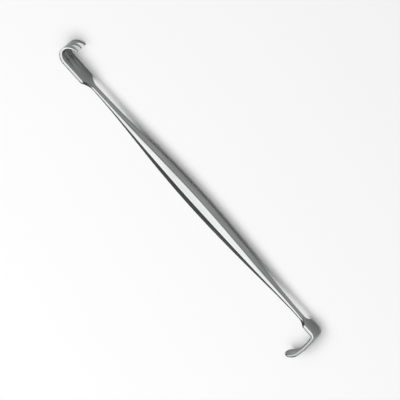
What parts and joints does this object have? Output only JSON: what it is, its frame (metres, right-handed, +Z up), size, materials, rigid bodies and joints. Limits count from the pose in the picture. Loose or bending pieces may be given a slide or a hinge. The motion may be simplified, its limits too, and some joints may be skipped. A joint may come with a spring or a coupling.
{
  "type": "surgical retractor",
  "caption": "Double-ended hand retractor: a tined rake and a curved blade on a slender six-sided shaft.",
  "frame": {"origin": "on the surface it lies on, below the middle of its box", "axes": "+X along the shaft from the rake to the blade, +Y to the side that the rake's tines hook towards, +Z up across the width of both ends"},
  "size_m": [0.16, 0.0304, 0.007],
  "materials": {
    "steel": "satin stainless steel"
  },
  "bodies": {
    "root": {"retractor": "steel"}
  },
  "joints": []
}
